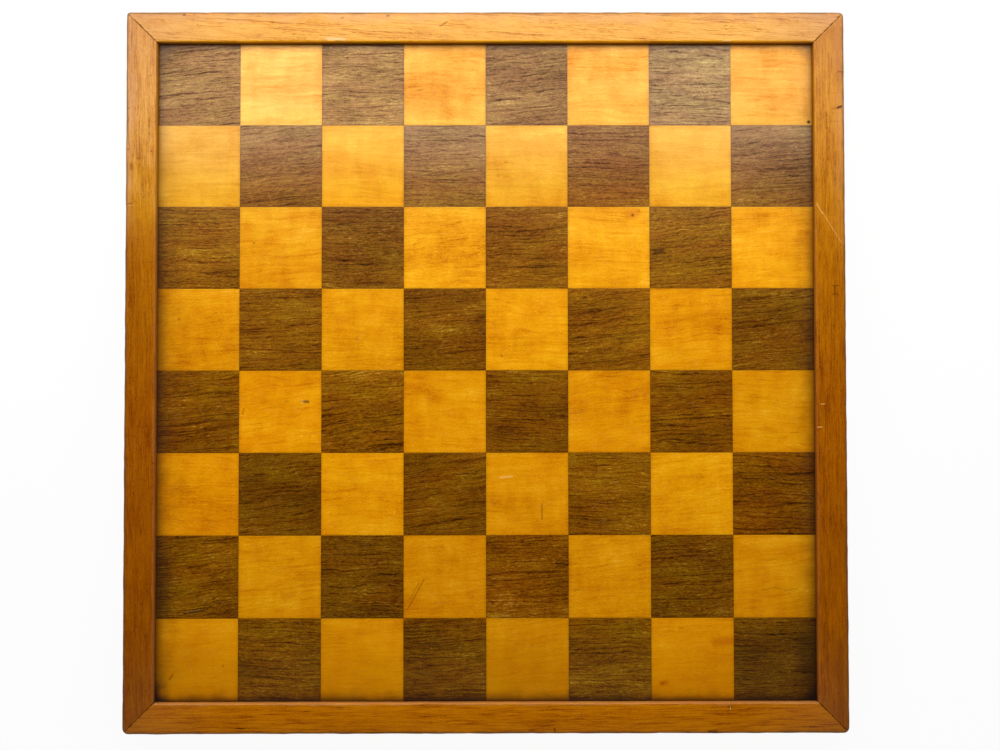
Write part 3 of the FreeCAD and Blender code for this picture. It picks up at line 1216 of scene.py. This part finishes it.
start_shaping(ring, "EDGE")
long_edges = pick(ring, "edges", lambda edge: edge.calc_length() > long_edge)
bpy.ops.mesh.subdivide(number_cuts=span_count - 1)
stop_shaping()
print(long_edges, "long edges cut into", span_count, "spans each")

# %% [markdown]
# ### Worn edges
#
# A planed edge is dead straight, and an old one isn't. A Displace modifier with a cloud texture
# moves the points of the rounded edges inwards by up to a few tenths of a millimetre. A vertex
# group keeps it off the flat faces. It is applied before the ring is cut, so the mitres still
# meet.

# %% Wearing the edges
wear_depth = 0.6 * mm
wear_size = 9 * mm
top_band = 2.5 * mm
inner_band = 1.6 * mm
foot_band = 1.0 * mm
outer_wear = 1.0
inner_wear = 0.45
foot_wear = 0.5


def edge_weight(point):
    """How much hands reach a point: most on the top outer edge, less on the inner one."""
    out = reach_of(point)
    near_top = point.z > rail_top - top_band
    if near_top and out > board_reach - top_band:
        return outer_wear
    if near_top and out < wall_reach + inner_band:
        return inner_wear
    if point.z < rail_foot + foot_band and out > board_reach - foot_band:
        return foot_wear
    return 0.0


worn_edges = ring.vertex_groups.new(name="worn_edges")
for vertex in ring.data.vertices:
    weight = edge_weight(vertex.co)
    if weight > 0:
        worn_edges.add([vertex.index], weight, "REPLACE")
apply_modifier(
    ring,
    "DISPLACE",
    texture=cloud_texture("edge_wear", wear_size),
    texture_coords="LOCAL",
    vertex_group="worn_edges",
    mid_level=0,
    strength=-wear_depth,
)
print("worn edge points:", sum(edge_weight(v.co) > 0 for v in ring.data.vertices))

# %% [markdown]
# ### Four rails from one ring
#
# Each copy keeps the quarter of the ring on its own side of two upright planes through the
# mitres, half a glue line apart. The fill option closes the cut ends. The threshold has to be
# smaller than the glue line, or points beside the plane count as lying on it and the ends
# come out with doubled faces.

# %% Cutting the mitres
half_glue = 0.06 * mm
cut_threshold = 0.002 * mm
rail_smoothing = math.radians(35)
side_normals = {
    "front": Vector((0, -1, 0)),
    "right": Vector((1, 0, 0)),
    "back": Vector((0, 1, 0)),
    "left": Vector((-1, 0, 0)),
}


def cut_rail(side, outward):
    """A copy of the ring with all but one side bisected away."""
    rail = ring.copy()
    rail.data = ring.data.copy()
    rail.name = "worn_rail_" + side
    bpy.context.scene.collection.objects.link(rail)
    sideways = Vector((-outward.y, outward.x, 0))
    for lean in (-1, 1):
        keep = (outward + sideways * lean).normalized()
        start_shaping(rail, "FACE")
        bpy.ops.mesh.select_all(action="SELECT")
        bpy.ops.mesh.bisect(
            plane_co=keep * half_glue,
            plane_no=keep,
            use_fill=True,
            clear_inner=True,
            threshold=cut_threshold,
        )
        stop_shaping()
    bpy.ops.object.shade_smooth_by_angle(angle=rail_smoothing)
    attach(rail, "root")
    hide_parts("rail_" + side)
    return rail


rails = {side: cut_rail(side, outward) for side, outward in side_normals.items()}
bpy.data.objects.remove(ring)
for side, rail in rails.items():
    print(rail.name, len(rail.data.polygons), "faces")

# %% [markdown]
# ### Holes over the brads
#
# Two brads cross each mitre from the side rails. They are punched under the surface, and wax
# fills the hole over each head. The wax comes from the frame, so the worn rails need holes to
# show it. Eight small blocks stand where the wax is, a hair larger, and a Boolean modifier
# takes them out of the two side rails.

# %% Holes for the wax
brad_height_shares = (0.28, 0.72)
hole_depth = 1.25 * mm
hole_length = 2.5 * mm
hole_height = 1.4 * mm
hole_shift = 0.3 * mm
past_face = 1.0 * mm


def hole_block(side_x, side_y, share):
    """A block that takes one hole out of a side rail."""
    place = (
        side_x * (board_reach + (past_face - hole_depth) / 2),
        side_y * (wall_reach + rail_width / 2) + hole_shift,
        rail_foot + share * rail_height,
    )
    return add_block(place, (past_face + hole_depth, hole_length, hole_height))


def take_out(piece, block):
    """Takes a block out of a piece and removes the block."""
    apply_modifier(piece, "BOOLEAN", object=block, operation="DIFFERENCE", solver="EXACT")
    bpy.data.objects.remove(block)


def open_edges(piece):
    """How many edges of a piece don't lie between exactly two faces."""
    mesh = bmesh.new()
    mesh.from_mesh(piece.data)
    count = sum(not edge.is_manifold for edge in mesh.edges)
    mesh.free()
    return count


for side, side_x in (("left", -1), ("right", 1)):
    for side_y in (-1, 1):
        for share in brad_height_shares:
            take_out(rails[side], hole_block(side_x, side_y, share))
for rail in rails.values():
    print(rail.name, len(rail.data.polygons), "faces,", open_edges(rail), "open edges")

# %% [markdown]
# ### The rails' finish
#
# All four rails share one recipe with different tones. Grain runs along each rail, so its
# pattern is turned with it. The outer edge is darker. The inner edge is pale, partly rubbed and
# partly a painted highlight, strongest on the front rail, which faces the lamp. The inner walls
# are darker, partly grime and partly painted shade, most on the back rail, whose wall faces away
# from the lamp. The glue in the mitre shows as a fine dark line. The side rails are darker and
# redder, but paler and yellower towards the back, where more of their varnish is left. The outer
# faces keep the plain wood, a little darker towards the foot.
#
# A group works out where those bands lie. Each one is the product of two fades, for instance
# how far out a point lies and how high, and the distances wander a little, as wear does.

# %% Group: the frame's edges
outside = board_reach / mm
top = rail_top / mm
bottom_of_walls = square_top / mm
edge_bands = ("Outer", "Handled", "Inner", "Wall", "Mitre", "Foot", "End")
frame_edges, given, made = new_group(
    "Frame edges", {"Place": "Vector"}, dict.fromkeys(edge_bands, "Float")
)


def band(value, start, end, low=0.0, high=1.0):
    """A fade across the frame's edges."""
    return fade(frame_edges, value, start, end, low, high)


def wandering(size, detail, low, high, aside=0):
    """A number between two limits that wanders from place to place, by its blotches' size."""
    place = vector_calc(frame_edges, "ADD", given["Place"], (3 * aside, 7 * aside, 0))
    return band(stretched_noise(frame_edges, place, size, size, detail), 0.3, 0.7, low, high)


# %% How far out and how high
spots = split(frame_edges, given["Place"])
far_x = calc(frame_edges, "ABSOLUTE", spots["X"])
far_y = calc(frame_edges, "ABSOLUTE", spots["Y"])
far_out = calc(frame_edges, "MAXIMUM", far_x, far_y)
least_out = calc(frame_edges, "MINIMUM", far_x, far_y)
broad_wander = wandering(23, 3.0, -2.0, 2.0)
broad_out = calc(frame_edges, "ADD", far_out, broad_wander)
height = calc(frame_edges, "ADD", spots["Z"], broad_wander)
out = calc(frame_edges, "ADD", far_out, wandering(11, 3.0, -0.5, 0.5, aside=1))
off_mitre = calc(frame_edges, "ABSOLUTE", calc(frame_edges, "SUBTRACT", far_x, far_y))
off_mitre = calc(frame_edges, "ADD", off_mitre, wandering(4, 1.0, -0.25, 0.15))

# %% The bands
near_top = band(spots["Z"], top - 3.2, top - 0.8, 0.12, 1.0)
down_side = band(height, 4.0, top - 1.0, 0.15, 0.9)
down_walls = band(spots["Z"], top - 0.4, bottom_of_walls + 0.6)
# Inner is the pale band along the inner edge, partly a painted highlight; Wall darkens the inner
# walls, partly grime and partly painted shade.
band_fades = {
    "Outer": (band(out, outside - 2.6, outside - 0.4), near_top),
    "Handled": (band(broad_out, outside - 9, outside - 1), down_side),
    "Inner": (band(out, walls + 1.5, walls + 0.5), 1.0),
    "Wall": (band(far_out, walls + 2.5, walls + 1.5), down_walls),
    "Mitre": (band(off_mitre, 0.55, 0.05), 1.0),
    "Foot": (band(height, 8, 1), 1.0),
    "End": (band(least_out, 150, outside), 1.0),
}
for name, (across, upward) in band_fades.items():
    feed(frame_edges, made[name], calc(frame_edges, "MULTIPLY", across, upward))
print("the frame has", len(band_fades), "bands of wear and dirt")

# %% What the four rails share
rail_black = (0.055, 0.013, 0.0, 1)
rail_rubbed_and_highlit = (0.56, 0.29, 0.11, 1)
# Inner is pale, partly wear and partly a painted highlight; Wall is dark, partly grime and partly
# painted shade.
band_tints = {
    "Handled": (0.42, 0.19, 0.075, 1),
    "End": (0.24, 0.085, 0.035, 1),
    "Inner": rail_rubbed_and_highlit,
    "Wall": (0.16, 0.045, 0.006, 1),
    "Outer": (0.15, 0.058, 0.014, 1),
    "Foot": (0.10, 0.045, 0.020, 1),
    "Mitre": rail_black,
}
bands_of_all = {"Outer": 0.75, "Foot": 0.50, "Mitre": 0.80}
rail_middle = 0.5
rail_scuffed = 0.05
rail_depth = 0.06
finer_across = 1.6
rail_apart = 157.0
yellowed = ((-40, 60, 1.0, 1.16),)
dulled = ((50, 110, 0.35, 1.0),)

# %% What each rail has of its own
# Each rail's Inner strength is partly a painted highlight, most on the front rail, and its Wall
# strength partly painted shade, most on the back rail.
rail_mix = {
    "front": {
        "colours": ((0.36, 0.088, 0.0, 1), (0.52, 0.152, 0.0, 1), (0.63, 0.210, 0.0, 1)),
        "swings": {"Cloud": 0.45, "Patch": 0.36, "Streak": 1.32, "Ripple": 0.32, "Fleck": 0.42},
        "accents": {"Line": -0.14, "Pore": -0.03, "Vein": -0.05, "Pit": -0.05},
        "bands": {"Handled": 0.03, "End": 0.30, "Inner": 0.35, "Wall": 0.40},
        "keen": 1.08,
        "slope": 0.02,
        "varnish": 0.30,
    },
    "back": {
        "colours": ((0.36, 0.110, 0.0, 1), (0.53, 0.225, 0.0, 1), (0.62, 0.290, 0.002, 1)),
        "swings": {"Cloud": 0.45, "Patch": 0.54, "Streak": 0.48, "Ripple": 0.32, "Fleck": 0.42},
        "accents": {"Line": -0.14, "Pore": -0.20, "Vein": -0.24, "Pit": -0.40},
        "bands": {"Handled": 0.45, "End": 0.36, "Inner": 0.0, "Wall": 0.95},
        "keen": 0.74,
        "slope": -0.10,
        "varnish": 0.84,
    },
    "right": {
        "colours": ((0.21, 0.044, 0.0, 1), (0.33, 0.085, 0.0, 1), (0.43, 0.130, 0.0, 1)),
        "swings": {"Cloud": 0.45, "Patch": 0.54, "Streak": 0.60, "Ripple": 0.32, "Fleck": 0.42},
        "accents": {"Line": -0.14, "Pore": -0.13, "Vein": -0.18, "Pit": -0.20},
        "bands": {"Handled": 0.25, "End": 0.30, "Inner": 0.06, "Wall": 0.70},
        "keen": 0.92,
        "slope": 0.01,
        "varnish": 0.30,
        "bleached": (1.25, 1.50, 1.0, 1),
        "bleached_from": (40, 140),
    },
    "left": {
        "colours": ((0.19, 0.038, 0.0, 1), (0.29, 0.072, 0.0, 1), (0.38, 0.112, 0.0, 1)),
        "swings": {"Cloud": 0.45, "Patch": 0.54, "Streak": 0.60, "Ripple": 0.32, "Fleck": 0.42},
        "accents": {"Line": -0.14, "Pore": -0.13, "Vein": -0.14, "Pit": -0.45},
        "bands": {"Handled": 0.45, "End": 0.22, "Inner": 0.10, "Wall": 0.55},
        "keen": 0.95,
        "slope": 0.03,
        "varnish": 0.62,
        "bleached": (1.42, 1.86, 1.0, 1),
        "bleached_from": (72, 112),
    },
}


# %% The finish of one rail
def rail_wood(side, mix, shift):
    """The finish of one rail, from its mix and how far off its grain is taken."""
    material, tree, shader = new_material("frame_wood_" + side)
    is_side_rail = "bleached" in mix
    turned = math.radians(90) if is_side_rail else 0.0
    straight = use_group(tree, millimetres, {})["Place"]
    along = use_group(tree, millimetres, {"Turn": turned})["Place"]
    finer = (1.0, finer_across, finer_across)
    given = {
        "Place": vector_calc(tree, "MULTIPLY", along, finer),
        "Shift": (shift, shift, 0),
        "Slope": mix["slope"],
        "Wobble": 4.0,
        "Growth": 4.0,
    }
    grain = use_group(tree, wood_grain, given)
    tone = wood_tone(tree, grain, mix["swings"], 0.58, mix["accents"])
    tone = as_keen_as_seen(tree, tone, rail_middle, mix["keen"])
    colours = (rail_black, *mix["colours"])
    colour = ramp(tree, tone, tuple(zip((0.00, 0.25, 0.52, 0.85), colours)))

    strengths = {**mix["bands"], **bands_of_all}
    fullness = mix["varnish"]
    if is_side_rail:
        colour = tinted(tree, colour, 1.0, by_depth(tree, straight, yellowed))
        bleaching = fade(tree, split(tree, straight)["Y"], *mix["bleached_from"])
        paler = blend(tree, 1.0, colour, mix["bleached"], "MULTIPLY")
        colour = blend(tree, bleaching, colour, paler)
        strengths["Handled"] = calc(tree, "MULTIPLY", bleaching, strengths["Handled"])
        fullness = calc(tree, "MULTIPLY", fullness, by_depth(tree, straight, dulled))
    edges = use_group(tree, frame_edges, {"Place": straight})
    for name, tint in band_tints.items():
        colour = laid(tree, colour, tint, edges[name], strengths[name])
    worn = use_group(tree, scuffs, {"Place": straight})
    colour = laid(tree, colour, rail_rubbed_and_highlit, worn["Mask"], rail_scuffed)
    marks = [mark for name, mark in rail_marks.items() if name.startswith(side)]
    colour, marked = add_marks(tree, straight, colour, marks, rail_top)

    # Varnish is taken off the glue, the grime and painted shade of the walls, and dark marks.
    varnish = varnish_left(tree, tone, fullness, [edges["Mitre"], edges["Wall"], marked])
    roughness = handled_roughness(tree, worn)
    finish_wood(tree, shader, colour, tone, rail_depth, roughness, varnish)
    return material


for number, (side, mix) in enumerate(rail_mix.items()):
    rails[side].data.materials.clear()
    rails[side].data.materials.append(rail_wood(side, mix, rail_apart * (number + 1)))
print("finished", len(rails), "rails")

# %% [markdown]
# ## The baize
#
# Baize is a felted green wool, glued under the board a little short of its edge. It is modelled
# as a thin sheet: a plane with its corners cut round, cut into small faces, its rim pushed in
# and out a little where the shears wandered, and then given its thickness.

# %% The baize sheet
baize_low, baize_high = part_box("baize_lining")
baize_side = baize_high.x - baize_low.x
baize_thickness = baize_high.z - baize_low.z
baize_corner = 3.2 * mm
baize_cuts = 70
baize_hem = 2 * mm

bpy.ops.object.select_all(action="DESELECT")
bpy.ops.mesh.primitive_plane_add(size=baize_side, location=(0, 0, baize_high.z))
baize = bpy.context.object
baize.name = "baize_sheet"
bpy.ops.object.transform_apply(location=True, rotation=True, scale=True)
start_shaping(baize, "VERT")
bpy.ops.mesh.select_all(action="SELECT")
bpy.ops.mesh.bevel(offset=baize_corner, segments=5, affect="VERTICES")
pick(baize, "edges", lambda edge: edge.calc_length() > baize_side / 2)
bpy.ops.mesh.subdivide(number_cuts=baize_cuts)
bpy.ops.mesh.select_all(action="SELECT")
bpy.ops.mesh.inset(thickness=baize_hem)
stop_shaping()

# %% The sheet's rim and thickness
rim_width = 1 * mm
shear_wander = 0.5 * mm
shear_size = 14 * mm
soft_edge_width = 0.3 * mm
baize_smoothing = math.radians(50)

rim = baize.vertex_groups.new(name="rim")
for vertex in baize.data.vertices:
    if reach_of(vertex.co) > baize_side / 2 - rim_width:
        rim.add([vertex.index], 1.0, "REPLACE")
shears = cloud_texture("shears", shear_size)
for axis in "XY":
    apply_modifier(
        baize,
        "DISPLACE",
        texture=shears,
        texture_coords="LOCAL",
        vertex_group="rim",
        direction=axis,
        mid_level=0.5,
        strength=shear_wander,
    )
apply_modifier(baize, "SOLIDIFY", thickness=baize_thickness, offset=-1)
apply_modifier(baize, "BEVEL", width=soft_edge_width, segments=2, limit_method="ANGLE")
bpy.ops.object.shade_smooth_by_angle(angle=baize_smoothing)
print("the baize has", len(baize.data.polygons), "faces")

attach(baize, "root")
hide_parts("baize_lining")

# %% Baize material
baize_green = (0.026, 0.108, 0.042, 1)
baize_dark = (0.011, 0.055, 0.022, 1)
baize_worn = (0.060, 0.145, 0.065, 1)
baize_sheen = 0.12
sheen_roughness = 0.6
nap_depth = 0.35


def felted_wool():
    """Green baize: a fine nap over clumps of fibre, paler where it is worn thin."""
    material, tree, shader = new_material("green_baize")
    place = use_group(tree, millimetres, {})["Place"]
    nap = stretched_noise(tree, place, 0.9, 0.9, 3.0)
    clumps = stretched_noise(tree, place, 5, 3.5, 3.0)
    thinned = stretched_noise(tree, place, 70, 60, 3.0)
    colour = blend(tree, fade(tree, nap, 0.35, 0.65), baize_dark, baize_green)
    colour = laid(tree, colour, baize_dark, fade(tree, clumps, 0.4, 0.7), 0.35)
    colour = laid(tree, colour, baize_worn, fade(tree, thinned, 0.5, 0.75), 0.5)
    feed(tree, shader.inputs["Base Color"], colour)
    feed(tree, shader.inputs["Roughness"], fade(tree, nap, 0.2, 0.8, 0.88, 1.0))
    raise_relief(tree, shader, calc(tree, "MULTIPLY_ADD", clumps, 0.6, nap), nap_depth)
    shader.inputs["Sheen Weight"].default_value = baize_sheen
    shader.inputs["Sheen Roughness"].default_value = sheen_roughness
    return material


baize.data.materials.clear()
baize.data.materials.append(felted_wool())

# %% [markdown]
# ## What lies inside
#
# The core, its backing, the brads and the wax over them hardly show, and are finished all the
# same, so that the board looks right when it is taken apart.

# %% Plain inner woods
inner_woods = {
    "core_softwood": {
        "turn": 90,
        "pale": (0.55, 0.33, 0.14, 1),
        "deep": (0.46, 0.25, 0.09, 1),
        "line": (0.28, 0.11, 0.03, 1),
        "growth": 4.0,
    },
    "backing_wood": {
        "turn": 0,
        "pale": (0.40, 0.22, 0.09, 1),
        "deep": (0.33, 0.17, 0.07, 1),
        "line": (0.20, 0.09, 0.03, 1),
        "growth": 6.0,
    },
}
sawn_depth = 0.08


def inner_wood(name):
    """A bare, unvarnished wood."""
    wood = inner_woods[name]
    material, tree, shader = new_material(name)
    place = use_group(tree, millimetres, {"Turn": math.radians(wood["turn"])})["Place"]
    given = {
        "Place": place,
        "Shift": (40, 70, 0),
        "Slope": 0.0,
        "Wobble": 5.0,
        "Growth": wood["growth"],
    }
    grain = use_group(tree, wood_grain, given)
    colour = blend(tree, fade(tree, grain["Cloud"], 0.3, 0.7), wood["pale"], wood["deep"])
    colour = laid(tree, colour, wood["line"], grain["Line"], 0.6)
    colour = laid(tree, colour, wood["line"], grain["Pore"], 0.15)
    roughness = fade(tree, grain["Cloud"], 0.3, 0.7, 0.60, 0.75)
    finish_wood(tree, shader, colour, grain["Streak"], sawn_depth, roughness)
    return material


softwood = inner_wood("core_softwood")
core_boards = [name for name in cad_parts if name.startswith("core_board")]
for name in core_boards:
    dress(name, softwood)
dress("backing_veneer", inner_wood("backing_wood"))
print("dressed", len(core_boards), "core boards and their backing")

# %% Brads and wax
steel_grey = (0.30, 0.29, 0.28, 1)
steel_rust = (0.16, 0.06, 0.025, 1)
rust_depth = 0.05
wax_dark = (0.075, 0.022, 0.006, 1)
wax_brown = (0.14, 0.045, 0.010, 1)
wax_mirror = 0.15
wax_depth = 0.1


def rusty_steel():
    """The brads' steel, with patches of rust."""
    material, tree, shader = new_material("brad_steel")
    place = use_group(tree, millimetres, {})["Place"]
    rusted = fade(tree, stretched_noise(tree, place, 2.5, 1.2, 3.0), 0.45, 0.65)
    feed(tree, shader.inputs["Base Color"], blend(tree, rusted, steel_grey, steel_rust))
    feed(tree, shader.inputs["Metallic"], calc(tree, "SUBTRACT", 1.0, rusted))
    feed(tree, shader.inputs["Roughness"], fade(tree, rusted, 0, 1, 0.38, 0.8))
    raise_relief(tree, shader, rusted, rust_depth)
    return material


def smeared_wax():
    """The brown wax over the brads, wiped flat with a finger."""
    material, tree, shader = new_material("stopping_wax")
    place = use_group(tree, millimetres, {})["Place"]
    smear = stretched_noise(tree, place, 0.8, 0.6, 3.0)
    colour = blend(tree, fade(tree, smear, 0.3, 0.7), wax_dark, wax_brown)
    feed(tree, shader.inputs["Base Color"], colour)
    feed(tree, shader.inputs["Roughness"], fade(tree, smear, 0.2, 0.8, 0.45, 0.7))
    shader.inputs["Specular IOR Level"].default_value = wax_mirror
    raise_relief(tree, shader, smear, wax_depth)
    return material


dress("corner_brads", rusty_steel())
dress("brad_stopping", smeared_wax())
